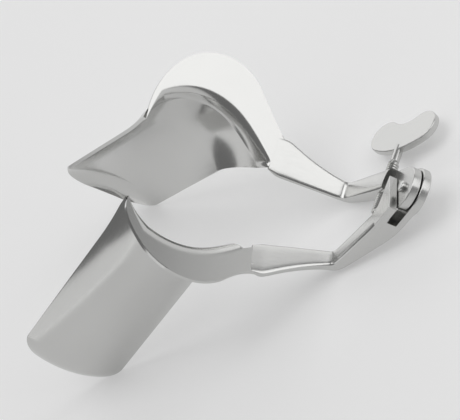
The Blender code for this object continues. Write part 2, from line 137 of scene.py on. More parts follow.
# Rings of the arm: the first lies inside the flange, then come its root, the strap as shares of the
# way to the bend, the bend, and the bar as shares of the way to the hinge.
INSIDE_Y, INSIDE_THICK, INSIDE_RISE = 0.0036, 0.0011, 0.0014
ROOT_RUN, ROOT_EASE = 0.0018, 0.0004
STRAP_RINGS = (0.35, 0.68, 0.92)
STRAP_EASE = 1.4
STRAP_SPREAD = 0.0010
BEND_SET, BEND_SHARE = 0.0003, 0.8
BAR_RINGS = (0.0, 0.35, 0.7, 1.0)
BAR_START, BAR_END = 0.0030, 0.002
BAR_INSET, BAR_SKEW = 0.0004, 0.0008

# Hinge: a tongue on the upper arm between two tines of the lower arm.
HINGE_FRONT_Y = 0.0575
FRONT_TINE = 0.0030
TONGUE = 0.0030
REAR_TINE = 0.0030
FACE_GAP = 0.0003
TONGUE_RADIUS = 0.0075
REAR_RADIUS = 0.0083
TONGUE_Y = HINGE_FRONT_Y + FRONT_TINE + FACE_GAP
REAR_Y = TONGUE_Y + TONGUE + FACE_GAP
FRONT_TINE_END = 0.0046
FRONT_TINE_TOP = 0.0074
SHOULDER_RADIUS = 0.0125
SHOULDER_ROOM = 0.004
SLOT_END = 0.0105
EAR_BACK, EAR_TOP, EAR_FOOT = 0.0140, 0.0120, 0.0012
EAR_ROOM = 0.004
CUT_REACH, CUT_FRONT_Y = 0.020, 0.050
HOLE_REACH, LUG_HOLE_REACH = 0.010, 0.015
RIVET_RADIUS = 0.0015
RIVET_HEAD = 0.0020
RIVET_HEAD_THICK = 0.0013
RIVET_TAIL = 0.0026
RIVET_TAIL_THICK = 0.0008
RIVET_EASE = 0.0005
PIVOT_GAP = 0.00008

# Thumb screw: half the angle between the blades, the screw's place and lean, its shank and thread, and
# the winged head on its neck.
HALF_OPENING = math.radians(12.9)
SCREW_X = 0.0180
SCREW_INSET = 0.0037
SCREW_Y = HINGE_FRONT_Y + SCREW_INSET
SCREW_OUT = math.radians(8.0)
SHANK_ABOVE = 0.0060
SHANK_TOP = (BAR_HIGH - BAR_LOW) / 2 + SHANK_ABOVE
CORE_RADIUS = 0.00155
END_EASE, TIP_EASE = 0.0003, 0.0008
TIP_GAP = 0.0003
THREAD_FLAT = 0.00012
THREAD_SINK, THREAD_FOOT = 0.0002, 0.44
THREAD_LOW, THREAD_HIGH = 0.0010, 0.0006
THREAD_STEPS = 36
THREAD_SHARP_ANGLE = 30.0
NECK_RADIUS = 0.0016
NECK_LENGTH = 0.0050
NECK_SINK, NECK_EASE = 0.0030, 0.0012
WING_HEIGHT = 0.0145
WING_LOBE = 0.0062
WING_WAIST = 0.0118
WING_EDGE, WING_EDGE_STEPS = 0.0004, 4
WING_TURN = math.radians(20.0)
LOBE_STEPS, DIP_STEPS, CURVE_STEPS = 40, 28, 48

# Roundness of turned, bevelled and smoothed shapes.
DISC_SEGMENTS, ROD_SEGMENTS = 96, 48
END_TURNS = (90, 75, 60, 45, 30, 15, 0)
BEVEL_STEPS, BEVEL_ANGLE = 3, 40.0
SMOOTH_LEVELS = 3
SHARP_ANGLE = 35.0
WELD = 1e-6

# Sockets of a colour mix: its two colours and its result.
MIX_FIRST, MIX_SECOND, MIX_RESULT = 6, 7, 2

# Steel: cloudy patches in its colour and roughness, and fine lines in its roughness and height. A grain
# is the scale of the lines along the three axes of its piece's frame.
NOISE_LOW, NOISE_HIGH = 0.3, 0.7
CLOUD_SCALE, CLOUD_DETAIL = 45.0, 3.0
CLOUD_SHADE, CLOUD_WEAR = 0.97, 0.4
LINE_DETAIL = 5.0
BUMP_STRENGTH, BUMP_DEPTH = 0.02, 0.00003
SATIN_SPREAD, BRIGHT_SPREAD = 0.03, 0.02
BLADE_GRAIN = (60.0, 2600.0, 2600.0)
ARM_GRAIN = (900.0, 80.0, 2600.0)
RIVET_GRAIN = (1500.0, 200.0, 1500.0)
SHANK_GRAIN = (1500.0, 1500.0, 200.0)
WING_GRAIN = (70.0, 2600.0, 2600.0)

# Table, and where each lamp stands and how wide and high it is.
TABLE_REACH, TABLE_ROUGHNESS = 3.0, 0.9
AIM_HEIGHT = 0.035
TOP_PLACE, TOP_SIZE = (0.0, 0.0, 1.4), (1.2, 1.2)
KEY_PLACE, KEY_SIZE = (0.60, 0.85, 0.38), (0.8, 0.9)
FLANGE_PLACE, FLANGE_SIZE = (-0.9, -0.22, 0.5), (0.9, 1.0)
SIDE_PLACE, SIDE_SIZE = (0.35, -1.0, 0.42), (2.6, 0.95)

# Camera, in the design frame: x along the closed blades, y away from the arms, z to the upper valve.
CAMERA_RIGHT = Vector((-0.42122, -0.889354, 0.17783))
CAMERA_UP = Vector((-0.393461, 0.35585, 0.847679))
CAMERA_BACK = Vector((-0.817167, 0.28709, -0.499817))
CAMERA_PLACE = Vector((-0.973635, 0.340509, -0.629568))
LENS = 283.4
FILM = 36.0


def design_frame():
    """The frame the sizes are given in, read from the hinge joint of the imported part."""
    hinge = next(joint for joint in frame["joints"] if joint["name"] == "valve_hinge")
    y_axis = -Vector(hinge["axis"]).normalized()
    z_axis = Vector((0, -1, 0))
    x_axis = y_axis.cross(z_axis)
    origin = Vector(hinge["pos_m"]) + y_axis * (TONGUE_Y + TONGUE / 2)
    turn = Matrix((x_axis, y_axis, z_axis)).transposed()
    return Matrix.Translation(origin) @ turn.to_4x4()


DESIGN = design_frame()
UPPER = DESIGN @ Matrix.Rotation(-HALF_OPENING, 4, "Y")
LOWER = DESIGN @ Matrix.Rotation(HALF_OPENING, 4, "Y")
SCREW = UPPER @ Matrix.Translation((SCREW_X, -SCREW_Y, (BAR_HIGH + BAR_LOW) / 2)) @ \
    Matrix.Rotation(HALF_OPENING, 4, "Y") @ Matrix.Rotation(SCREW_OUT, 4, "X")


class SpeculumSizes(bpy.types.PropertyGroup):
    """Sizes a user would change."""

    blade_width: FloatProperty(
        name="Blade Width", description="Width of each blade", default=0.0360,
        min=0.024, max=0.045, unit="LENGTH")
    blade_length: FloatProperty(
        name="Blade Length", description="Length of each blade from its flange", default=0.0935,
        min=0.070, max=0.120, unit="LENGTH")
    sheet: FloatProperty(
        name="Sheet", description="Thickness of the blade sheet", default=0.0012,
        min=0.0008, max=0.0020, unit="LENGTH")
    flare_depth: FloatProperty(
        name="Flare Depth", description="Length along the blade of the bend to the flange", default=0.0052,
        min=0.003, max=0.008, unit="LENGTH")
    thread_radius: FloatProperty(
        name="Thread Radius", description="Outer radius of the screw thread", default=0.0020,
        min=0.0018, max=0.0024, unit="LENGTH")
    thread_pitch: FloatProperty(
        name="Thread Pitch", description="Rise of the thread in one turn", default=0.0010,
        min=0.0006, max=0.0012, unit="LENGTH")
    wing_span: FloatProperty(
        name="Wing Span", description="Length of the thumb screw's winged head", default=0.0300,
        min=0.020, max=0.034, unit="LENGTH")
    wing_thick: FloatProperty(
        name="Wing Thickness", description="Thickness of the winged head", default=0.0026,
        min=0.0014, max=0.003, unit="LENGTH")


class SpeculumFinish(bpy.types.PropertyGroup):
    """Colour and finish of the steel."""

    steel: FloatVectorProperty(
        name="Steel", description="Colour of the stainless steel", subtype="COLOR",
        default=(0.60, 0.60, 0.59), min=0.0, max=1.0, size=3)
    satin: FloatProperty(
        name="Satin Roughness", description="Roughness of the arms and the wing", default=0.24,
        min=0.05, max=0.6, subtype="FACTOR")
    blade: FloatProperty(
        name="Blade Roughness", description="Roughness of the polished blades and flanges", default=0.17,
        min=0.05, max=0.6, subtype="FACTOR")
    bright: FloatProperty(
        name="Bright Roughness", description="Roughness of the turned screw and rivet", default=0.14,
        min=0.02, max=0.5, subtype="FACTOR")


class SpeculumStage(bpy.types.PropertyGroup):
    """Floor and light levels."""

    floor: FloatVectorProperty(
        name="Floor", description="Colour of the table", subtype="COLOR",
        default=(0.90, 0.90, 0.90), min=0.0, max=1.0, size=3)
    whiteness: FloatProperty(
        name="Floor Whiteness", description="How far the table is lifted to white, seen or mirrored",
        default=0.25, min=0.0, max=1.0, subtype="FACTOR")
    top: FloatProperty(
        name="Top Light", description="Power of the soft light over the table", default=7.0,
        min=0.0, max=60.0, unit="POWER")
    key: FloatProperty(
        name="Key Light", description="Power of the large soft light", default=1.5,
        min=0.0, max=60.0, unit="POWER")
    flange_light: FloatProperty(
        name="Flange Light", description="Power of the light that the flange mirrors", default=3.6,
        min=0.0, max=60.0, unit="POWER")
    side_light: FloatProperty(
        name="Side Light", description="Power of the wide light that the arms and wing mirror",
        default=7.2, min=0.0, max=60.0, unit="POWER")
    room: FloatProperty(
        name="Room Light", description="Strength of the light from all sides", default=0.20,
        min=0.0, max=2.0)


def arc_section(half_width, depth, v):
    """A point of the blade's round section: across and above the split edge."""
    radius = (half_width ** 2 + depth ** 2) / (2 * depth)
    spread = math.asin(min(1.0, half_width / radius))
    return Vector((radius * math.sin(spread * v),
                   EDGE_HEIGHT + radius * (math.cos(spread * v) - math.cos(spread))))


def quadratic(a, b, c, t):
    """A point of a quadratic curve."""
    return a.lerp(b, t).lerp(b.lerp(c, t), t)


class Rim:
    """A flange's outline in the (y, z) plane, from the free corner round the top to the arm."""

    def __init__(self, form, half_width):
        self.centre, self.radius = Vector((form.centre_y, form.centre_z)), form.radius
        self.corner = Vector((half_width + FREE_OVERHANG, EDGE_HEIGHT))
        self.left = self.on_arc(RIM_FIRST)
        self.right = self.on_arc(RIM_LAST)
        self.left_pull = self.left - self.along(RIM_FIRST) * form.radius * RIM_PULL
        self.top = Vector((-ARM_Y, ARM_ROOT_HIGH - ROOT_INSET))
        fall = self.right.y - self.top.y - form.shoulder * SHOULDER_FALL
        self.right_pull = self.right - self.along(RIM_LAST) * fall / self.along(RIM_LAST).y

    def on_arc(self, angle):
        return self.centre + self.radius * Vector((math.cos(angle), math.sin(angle)))

    def along(self, angle):
        return Vector((-math.sin(angle), math.cos(angle)))

    def point(self, s):
        """The outline at s, from 0 at the free corner to 1 at the arm's top edge."""
        if s < FREE_PART:
            return quadratic(self.corner, self.left_pull, self.left, s / FREE_PART)
        if s < FREE_PART + ROUND_PART:
            t = (s - FREE_PART) / ROUND_PART
            return self.on_arc(RIM_FIRST + (RIM_LAST - RIM_FIRST) * t)
        t = (s - FREE_PART - ROUND_PART) / (1 - FREE_PART - ROUND_PART)
        return quadratic(self.right, self.right_pull, self.top, t)

    def target(self, v):
        """Where the column v of the sheet ends: on the outline, or down the arm's root."""
        s = (1 - v) / 2
        if s <= 1 - ARM_SHARE:
            return self.point((s / (1 - ARM_SHARE)) ** RIM_SPREAD)
        drop = (s - (1 - ARM_SHARE)) / ARM_SHARE
        return Vector((-ARM_Y, self.top.y + (ARM_ROOT_LOW + ROOT_INSET - self.top.y) * drop))


def swell(form, v):
    """How far the sheet stands out at the end of its swell."""
    arm, free = max(0.0, -v) ** SWELL_ARM_POWER, max(0.0, v) ** SWELL_FREE_POWER
    rise = form.swell_top + (form.swell_arm - form.swell_top) * arm
    return rise + (form.swell_free - form.swell_top) * free


def lean_of(form, v):
    """The direction in which the column v of the sheet flares; it lies flat at the free corner."""
    aim = FREE_FAN * v + CORNER_FAN * v ** CORNER_POWER if v > 0 else form.arm_fan * v
    return Vector((math.sin(aim), math.cos(aim)))


def sheet_point(sizes, form, rim, station, v):
    """A point of a valve's inner surface; station runs from 0 at the tip to 5 at the rim."""
    half = sizes.blade_width / 2
    nose_x = FLANGE_X + sizes.blade_length - NOSE_LENGTH
    root_x = FLANGE_X + sizes.flare_depth
    if station < 1:
        turn = math.pi / 2 * (1 - station) * NOSE_TURN
        along = math.sin(turn)
        width = half - NOSE_CORNER * (1 - math.sqrt(max(0.0, 1 - along ** 2 * NOSE_FULLNESS)))
        edge = arc_section(width, form.tip_depth * math.cos(turn), v)
        return Vector((nose_x + NOSE_LENGTH * along, edge.x, edge.y))
    swell_x = root_x + SWELL_LENGTH
    if station < 2:
        x = nose_x + (swell_x - nose_x) * (station - 1)
    else:
        x = swell_x + (root_x - swell_x) * min(1.0, station - 2)
    depth = form.tip_depth + (form.root_depth - form.tip_depth) * (nose_x - x) / (nose_x - root_x)
    lean, rise = lean_of(form, v), swell(form, v)
    grown = max(0.0, (swell_x - x) / SWELL_LENGTH)
    edge = arc_section(half, depth, v) + lean * rise * grown ** SWELL_POWER
    if station <= 3:
        return Vector((x, edge.x, edge.y))
    near_arm = max(0.0, -v) ** NEAR_ARM_POWER
    target = rim.target(v)
    share = FLARE_SHARE + (ARM_FLARE_SHARE - FLARE_SHARE) * near_arm
    reach = min(form.flare, (target - edge).dot(lean) * share)
    slope = rise * SWELL_POWER / SWELL_LENGTH
    follow = PULL_AWAY + (1 - PULL_AWAY) * near_arm
    pull = min(reach * PULL_MOST, slope * sizes.flare_depth * follow)
    t = min(1.0, station - 3)
    x = FLANGE_X + sizes.flare_depth * (1 - t) ** 2
    edge = edge + lean * (2 * t * (1 - t) * pull + t * t * reach)
    if station > 4:
        edge = edge.lerp(target, station - 4)
    return Vector((x, edge.x, edge.y))


def sheet_mesh(sizes, form):
    """A grid bent into blade, flare and flange."""
    rim = Rim(form, sizes.blade_width / 2)
    stations = [part + i / steps for part, steps in enumerate(ROW_STEPS) for i in range(steps)]
    stations.append(float(len(ROW_STEPS)))
    bm = bmesh.new()
    bmesh.ops.create_grid(bm, x_segments=COLUMNS, y_segments=len(stations) - 1, size=0.5)
    for vert in bm.verts:
        row = round((vert.co.y + 0.5) * (len(stations) - 1))
        vert.co = sheet_point(sizes, form, rim, stations[row], vert.co.x * 2)
    return bm


def object_of(name, bm):
    """An object at the origin that holds a bmesh."""
    mesh = bpy.data.meshes.new(name)
    bm.to_mesh(mesh)
    bm.free()
    made = bpy.data.objects.new(name, mesh)
    bpy.context.scene.collection.objects.link(made)
    return made


def bevel(target, width, segments, angle=BEVEL_ANGLE):
    """Round the edges sharper than an angle."""
    modifier = target.modifiers.new("edges", "BEVEL")
    modifier.width = width
    modifier.segments = segments
    modifier.limit_method = "ANGLE"
    modifier.angle_limit = math.radians(angle)


def rounded(target):
    """Smooth a piece all over, and less where its edges are creased."""
    modifier = target.modifiers.new("smooth", "SUBSURF")
    modifier.levels = modifier.render_levels = SMOOTH_LEVELS


def boolean(target, name, bm, operation, rounding=0.0):
    """Join a bmesh to an object or cut it out."""
    other = object_of(name, bm)
    if rounding:
        bevel(other, rounding, BEVEL_STEPS)
    modifier = target.modifiers.new(name, "BOOLEAN")
    modifier.object = other
    modifier.operation = operation
    modifier.solver = "EXACT"
    return other


def keep_result(piece):
    """Give a piece the mesh that its modifiers make."""
    graph = bpy.context.evaluated_depsgraph_get()
    mesh = bpy.data.meshes.new_from_object(piece.evaluated_get(graph))
    piece.modifiers.clear()
    piece.data = mesh


def settle(piece, helpers, sharp=SHARP_ANGLE):
    """Keep the finished mesh, drop the helpers and shade it smooth with its flat faces flat."""
    keep_result(piece)
    for helper in helpers:
        bpy.data.objects.remove(helper, do_unlink=True)
    piece.data.shade_smooth()
    piece.data.set_sharp_from_angle(angle=math.radians(sharp))
    shading = piece.modifiers.new("shading", "WEIGHTED_NORMAL")
    shading.keep_sharp = True
    keep_result(piece)


def hand_over(piece, body, node, material):
    """Give a finished piece its material and its place in the moving part."""
    piece.data.materials.clear()
    piece.data.materials.append(material)
    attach(piece, body)
    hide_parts(node)


def moved(bm, matrix):
    """A bmesh put in its place, with its faces turned out."""
    bmesh.ops.transform(bm, matrix=matrix, verts=bm.verts)
    bmesh.ops.recalc_face_normals(bm, faces=bm.faces)
    return bm


def disc(radius, y_front, thick):
    """A cylinder along y, from its front face backwards."""
    bm = bmesh.new()
    place = Matrix.Translation((0, -(y_front + thick / 2), 0)) @ Matrix.Rotation(math.pi / 2, 4, "X")
    bmesh.ops.create_cone(bm, cap_ends=True, segments=DISC_SEGMENTS, radius1=radius, radius2=radius,
                          depth=thick, matrix=place)
    return bm


def rod(radius, low, high):
    """A cylinder along z."""
    bm = bmesh.new()
    place = Matrix.Translation((0, 0, (low + high) / 2))
    bmesh.ops.create_cone(bm, cap_ends=True, segments=ROD_SEGMENTS, radius1=radius, radius2=radius,
                          depth=high - low, matrix=place)
    return bm


def box(low, high):
    """A plain block between two corners."""
    bm = bmesh.new()
    centre = (Vector(low) + Vector(high)) / 2
    size = Vector(high) - Vector(low)
    bmesh.ops.create_cube(bm, size=1.0, matrix=Matrix.Translation(centre) @ Matrix.Diagonal(size.to_4d()))
    return bm


def plate(outline, low, high):
    """An outline of (first, second) points, extruded along z between two heights."""
    bm = bmesh.new()
    face = bm.faces.new([bm.verts.new((a, b, low)) for a, b in outline])
    grown = bmesh.ops.extrude_face_region(bm, geom=[face])["geom"]
    lifted = [item for item in grown if isinstance(item, bmesh.types.BMVert)]
    bmesh.ops.translate(bm, verts=lifted, vec=(0, 0, high - low))
    return bm


def turned(profile):
    """A solid of revolution about z from a profile of (radius, height)."""
    bm = bmesh.new()
    verts = [bm.verts.new((r, 0, z)) for r, z in profile]
    edges = [bm.edges.new(pair) for pair in zip(verts, verts[1:])]
    bmesh.ops.spin(bm, geom=verts + edges, cent=(0, 0, 0), axis=(0, 0, 1), angle=2 * math.pi,
                   steps=ROD_SEGMENTS, use_merge=True, use_duplicate=False)
    bmesh.ops.remove_doubles(bm, verts=bm.verts, dist=WELD)
    return bm


def round_end(radius, tip, ease, facing):
    """Points of (radius, height) that round the end of a rod, from its axis outwards."""
    turns = [math.radians(a) for a in END_TURNS]
    return [(0.0, tip)] + [(radius - ease + ease * math.cos(a), tip - facing * (ease - ease * math.sin(a)))
                           for a in turns]


def arm_ring(inner, outer, low, high):
    """One section of the arm: its proximal or inner face, its outer face, its two edges."""
    return [Vector((inner[0], inner[1], low)), Vector((inner[0], inner[1], high)),
            Vector((outer[0], outer[1], high)), Vector((outer[0], outer[1], low))]


def arm_sections(end_low, end_high):
    """The arm from inside the flange sheet, along the strap, round the bend, to the hinge."""
    hinge_back = REAR_Y + REAR_TINE
    face_x = FLANGE_X - ARM_STEP
    slope = (face_x - BEND_X) / (BEND_Y - ARM_Y)
    sections = [
        arm_ring((FLANGE_X, -ARM_Y + INSIDE_Y), (FLANGE_X + INSIDE_THICK, -ARM_Y + INSIDE_Y),
                 ARM_ROOT_LOW + INSIDE_RISE, ARM_ROOT_HIGH - ROOT_EASE),
        arm_ring((face_x, -ARM_Y), (face_x + STRAP_THICK, -ARM_Y),
                 ARM_ROOT_LOW, ARM_ROOT_HIGH),
        arm_ring((face_x - slope * ROOT_RUN, -ARM_Y - ROOT_RUN),
                 (face_x + STRAP_THICK, -ARM_Y - ROOT_RUN),
                 ARM_ROOT_LOW, ARM_ROOT_HIGH - ROOT_EASE),
    ]
    for t in STRAP_RINGS:
        y = -(ARM_Y + (BEND_Y - ARM_Y) * t)
        x = face_x - slope * (BEND_Y - ARM_Y) * t
        ease = 1 - (1 - t) ** STRAP_EASE
        sections.append(arm_ring((x, y), (x + STRAP_THICK, y - STRAP_SPREAD * t),
                                 ARM_ROOT_LOW + (BEND_LOW - ARM_ROOT_LOW) * t,
                                 ARM_ROOT_HIGH + (BEND_HIGH - ARM_ROOT_HIGH) * ease))
    sections.append(arm_ring((BEND_X - BEND_SET, -BEND_Y),
                             (BEND_X + STRAP_THICK, -BEND_Y - BEND_THICK * BEND_SHARE),
                             BEND_LOW, BEND_HIGH))
    start_x = BEND_X - BAR_START
    for t in BAR_RINGS:
        x = start_x + (SHOULDER_RADIUS + BAR_END - start_x) * t
        inner = BEND_Y + BAR_INSET + (HINGE_FRONT_Y - BEND_Y - BAR_INSET) * t
        outer = BEND_Y + BAR_BEND_THICK + (hinge_back - BEND_Y - BAR_BEND_THICK) * t
        sections.append(arm_ring((x, -inner), (x + BAR_SKEW * (1 - t), -outer),
                                 BEND_LOW + (BAR_LOW - BEND_LOW) * t,
                                 BEND_HIGH + (BAR_HIGH - BEND_HIGH) * t))
    sections.append(arm_ring((0.0, -HINGE_FRONT_Y), (0.0, -hinge_back), end_low, end_high))
    return sections


def arm_mesh(end_low, end_high):
    """The arm, drawn out ring by ring from its root."""
    sections = arm_sections(end_low, end_high)
    bm = bmesh.new()
    crease = bm.edges.layers.float.new("crease_edge")
    rings = [[bm.verts.new(corner) for corner in sections[0]]]
    face = bm.faces.new(rings[0])
    for before, ring in zip(sections, sections[1:]):
        face = bmesh.ops.extrude_discrete_faces(bm, faces=[face])["faces"][0]
        following = [min(face.verts, key=lambda vert: (vert.co - corner).length) for corner in before]
        for vert, corner in zip(following, ring):
            vert.co = corner
        rings.append(following)
    bm.faces.new(rings[0])
    for one, two in zip(rings, rings[1:]):
        for pair in zip(one, two):
            bm.edges.get(pair)[crease] = ARM_CREASE
    for end in (rings[0], rings[-1]):
        for k, vert in enumerate(end):
            bm.edges.get((vert, end[k - 1]))[crease] = 1.0
    return bm


def mirrored(bm):
    """A bmesh turned over for the lower valve."""
    bmesh.ops.transform(bm, matrix=Matrix.Scale(-1, 4, (0, 0, 1)), verts=bm.verts)
    bmesh.ops.recalc_face_normals(bm, faces=bm.faces)
    return bm


def arc(centre, radius, first, last, steps):
    """Points along an arc, both ends left out."""
    turns = [first + (last - first) * i / steps for i in range(1, steps)]
    return [(centre[0] + radius * math.cos(a), centre[1] + radius * math.sin(a)) for a in turns]


def wing_outline(span):
    """The winged head seen flat: two round lobes, a dip above and one long curve below."""
    reach = span / 2 - WING_LOBE
    lobe_z = WING_HEIGHT - WING_LOBE
    dip = WING_WAIST - lobe_z
    below = (reach ** 2 + lobe_z ** 2 - WING_LOBE ** 2) / (2 * (lobe_z - WING_LOBE))
    above = (reach ** 2 + dip ** 2 - WING_LOBE ** 2) / (2 * (WING_LOBE - dip))
    dip_z = WING_WAIST + above
    start = math.atan2(lobe_z - below, reach)
    finish = math.atan2(dip_z - lobe_z, -reach)
    side = math.atan2(lobe_z - dip_z, reach)
    points = arc((reach, lobe_z), WING_LOBE, start, finish, LOBE_STEPS)
    points += arc((0, dip_z), above, side, -math.pi - side, DIP_STEPS)
    points += arc((-reach, lobe_z), WING_LOBE, math.pi - finish, math.pi - start, LOBE_STEPS)
    points += arc((0, below), below, math.pi - start, 2 * math.pi + start, CURVE_STEPS)
    return points


def tip_depth():
    """How far below the screw's origin its tip lies, just clear of the lower arm."""
    to_lower = LOWER.inverted() @ SCREW
    origin = to_lower.to_translation()
    down = to_lower.to_3x3() @ Vector((0, 0, -1))
    slope = (BEND_LOW - BAR_LOW) / (BEND_X - BAR_START - SHOULDER_RADIUS - BAR_END)
    height = -BAR_LOW - slope * (origin.x - SHOULDER_RADIUS - BAR_END)
    return (height - origin.z) / down.z - TIP_GAP


class Nodes:
    """A short way to build a material's node tree."""

    def __init__(self, tree):
        self.tree = tree

    def add(self, kind, **values):
        node = self.tree.nodes.new(kind)
        for name, value in values.items():
            setattr(node, name, value)
        return node

    def link(self, source, target):
        self.tree.links.new(source, target)

    def noise(self, coordinates, scale, stretch, detail):
        """A noise stretched by its own factors along the three axes."""
        spread = self.add("ShaderNodeMapping")
        spread.inputs["Scale"].default_value = stretch
        texture = self.add("ShaderNodeTexNoise")
        texture.inputs["Scale"].default_value = scale
        texture.inputs["Detail"].default_value = detail
        self.link(coordinates, spread.inputs["Vector"])
        self.link(spread.outputs["Vector"], texture.inputs["Vector"])
        return texture.outputs["Fac"]

    def remap(self, value, low, high):
        """A noise value stretched between two levels."""
        node = self.add("ShaderNodeMapRange")
        node.inputs["From Min"].default_value = NOISE_LOW
        node.inputs["From Max"].default_value = NOISE_HIGH
        node.inputs["To Min"].default_value = low
        node.inputs["To Max"].default_value = high
        self.link(value, node.inputs["Value"])
        return node.outputs["Result"]


def steel_material(name, place, roughness, spread, grain):
    """Stainless steel whose fine lines run along one axis of a given frame."""
    finish = bpy.context.scene.speculum_finish
    material = bpy.data.materials.new(name)
    material.use_nodes = True
    nodes = Nodes(material.node_tree)
    shader = material.node_tree.nodes["Principled BSDF"]
    shader.inputs["Metallic"].default_value = 1.0
    where = nodes.add("ShaderNodeTexCoord")
    turn = nodes.add("ShaderNodeMapping")
    turn.inputs["Rotation"].default_value = place.to_3x3().inverted().to_euler()
    nodes.link(where.outputs["Object"], turn.inputs["Vector"])
    local = turn.outputs["Vector"]
    cloud = nodes.noise(local, CLOUD_SCALE, (1.0, 1.0, 1.0), CLOUD_DETAIL)
    lines = nodes.noise(local, 1.0, grain, LINE_DETAIL)
    colour = nodes.add("ShaderNodeMix", data_type="RGBA")
    colour.inputs[MIX_FIRST].default_value = tuple(c * CLOUD_SHADE for c in finish.steel) + (1.0,)
    colour.inputs[MIX_SECOND].default_value = tuple(finish.steel) + (1.0,)
    nodes.link(nodes.remap(cloud, 0.0, 1.0), colour.inputs["Factor"])
    nodes.link(colour.outputs[MIX_RESULT], shader.inputs["Base Color"])
    wear = nodes.add("ShaderNodeMath", operation="ADD")
    nodes.link(nodes.remap(lines, roughness - spread, roughness + spread), wear.inputs[0])
    nodes.link(nodes.remap(cloud, -spread * CLOUD_WEAR, spread * CLOUD_WEAR), wear.inputs[1])
    nodes.link(wear.outputs[0], shader.inputs["Roughness"])
    bump = nodes.add("ShaderNodeBump")
    bump.inputs["Strength"].default_value = BUMP_STRENGTH
    bump.inputs["Distance"].default_value = BUMP_DEPTH
    nodes.link(lines, bump.inputs["Height"])
    nodes.link(bump.outputs["Normal"], shader.inputs["Normal"])
    return material


class SPECULUM_OT_valves(bpy.types.Operator):
    """Build the two blades with their flanges"""

    bl_idname = "speculum.valves"
    bl_label = "Blades and Flanges"

    def execute(self, context):
        sizes, finish = context.scene.speculum_sizes, context.scene.speculum_finish
        for side, form, place in (("upper", UPPER_FORM, UPPER), ("lower", LOWER_FORM, LOWER)):
            bm = sheet_mesh(sizes, form)
            if side == "lower":
                mirrored(bm)
            moved(bm, place)
            piece = object_of(side + "_sheet", bm)
            shell = piece.modifiers.new("sheet", "SOLIDIFY")
            shell.thickness = sizes.sheet
            shell.offset = 1.0
            bevel(piece, SHEET_EDGE, BEVEL_STEPS, SHEET_BEVEL_ANGLE)
            settle(piece, [], SHEET_SHARP_ANGLE)
            material = steel_material(side + "_satin", place, finish.blade, SATIN_SPREAD, BLADE_GRAIN)
            hand_over(piece, side, side + "_valve", material)
        return {"FINISHED"}


class SPECULUM_OT_arms(bpy.types.Operator):
    """Build the two arms with their halves of the hinge"""

    bl_idname = "speculum.arms"
    bl_label = "Arms"

    def execute(self, context):
        finish = context.scene.speculum_finish
        self.upper(context.scene.speculum_sizes, finish)
        self.lower(finish)
        return {"FINISHED"}

    def upper(self, sizes, finish):
        arm = object_of("upper_arm", moved(arm_mesh(BAR_LOW, TONGUE_RADIUS), UPPER))
        rounded(arm)
        front = disc(SHOULDER_RADIUS, HINGE_FRONT_Y - SHOULDER_ROOM,
                     TONGUE_Y - HINGE_FRONT_Y + SHOULDER_ROOM)
        behind = disc(SHOULDER_RADIUS, TONGUE_Y + TONGUE, REAR_TINE + SHOULDER_ROOM)
        tongue = disc(TONGUE_RADIUS, TONGUE_Y, TONGUE)
        pivot = disc(RIVET_RADIUS + PIVOT_GAP, HINGE_FRONT_Y, HOLE_REACH)
        hole = rod(sizes.thread_radius + PIVOT_GAP, -HOLE_REACH, HOLE_REACH)
        helpers = [
            boolean(arm, "front_shoulder", moved(front, UPPER), "DIFFERENCE"),
            boolean(arm, "rear_shoulder", moved(behind, UPPER), "DIFFERENCE"),
            boolean(arm, "tongue_disc", moved(tongue, UPPER), "UNION", HINGE_EDGE),
            boolean(arm, "tongue_hole", moved(pivot, UPPER), "DIFFERENCE"),
            boolean(arm, "screw_hole", moved(hole, SCREW), "DIFFERENCE"),
        ]
        settle(arm, helpers)
        material = steel_material("upper_arm_satin", UPPER, finish.satin, SATIN_SPREAD, ARM_GRAIN)
        hand_over(arm, "upper", "upper_valve", material)

    def lower(self, finish):
        arm = object_of("lower_arm", moved(mirrored(arm_mesh(BAR_LOW, REAR_RADIUS)), LOWER))
        rounded(arm)
        lug = disc(REAR_RADIUS, REAR_Y, REAR_TINE)
        outline = [(EAR_BACK, -BAR_HIGH), (EAR_BACK, -BAR_LOW), (EAR_TOP, -BAR_LOW),
                   (FRONT_TINE_END, FRONT_TINE_TOP), (FRONT_TINE_END - EAR_FOOT, -REAR_RADIUS)]
        ear = plate(outline, HINGE_FRONT_Y, HINGE_FRONT_Y + FRONT_TINE)
        bmesh.ops.transform(ear, matrix=Matrix.Rotation(math.pi / 2, 4, "X"), verts=ear.verts)
        far = (-CUT_REACH, -REAR_Y, -CUT_REACH)
        room = box(far, (FRONT_TINE_END + EAR_ROOM, -CUT_FRONT_Y, CUT_REACH))
        slot = box(far, (SLOT_END, -(TONGUE_Y - FACE_GAP), CUT_REACH))
        pivot = disc(RIVET_RADIUS + PIVOT_GAP, HINGE_FRONT_Y, LUG_HOLE_REACH)
        helpers = [
            boolean(arm, "front_room", moved(room, LOWER), "DIFFERENCE"),
            boolean(arm, "tongue_slot", moved(slot, LOWER), "DIFFERENCE"),
            boolean(arm, "front_ear", moved(ear, LOWER), "UNION", EAR_EDGE),
            boolean(arm, "rear_lug", moved(lug, LOWER), "UNION", HINGE_EDGE),
            boolean(arm, "lug_hole", moved(pivot, LOWER), "DIFFERENCE"),
        ]
        settle(arm, helpers)
        material = steel_material("lower_arm_satin", LOWER, finish.satin, SATIN_SPREAD, ARM_GRAIN)
        hand_over(arm, "lower", "lower_valve", material)


